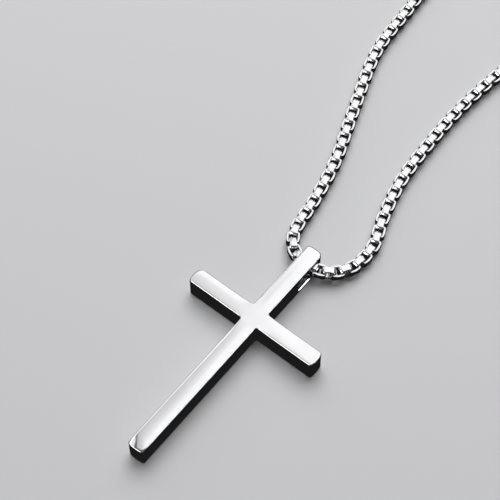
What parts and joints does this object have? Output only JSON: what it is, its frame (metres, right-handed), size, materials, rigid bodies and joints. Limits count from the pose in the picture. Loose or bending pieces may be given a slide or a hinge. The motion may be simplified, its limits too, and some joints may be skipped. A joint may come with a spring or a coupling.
{
  "type": "cross pendant on a round box chain",
  "caption": "Plain thick steel cross pendant with a slot through its head, threaded on a round box chain that closes with a lobster clasp, lying face up.",
  "frame": {"origin": "centre of the crossing of the two bars, on the cross's flat back, which is the surface it lies on", "axes": "+Y towards the head of the cross and along the necklace, +X along the crossbar, +Z out of the front face"},
  "size_m": [0.1337, 0.2901, 0.0048],
  "materials": {
    "cross_steel": "bright fine satin front, mirror-polished sides",
    "chain_steel": "mirror polish"
  },
  "bodies": {
    "root": {"cross": "cross_steel", "chain_links": "chain_steel", "chain_back": "chain_steel", "small_ring": "chain_steel", "large_ring": "chain_steel", "clasp": "chain_steel"}
  },
  "joints": []
}
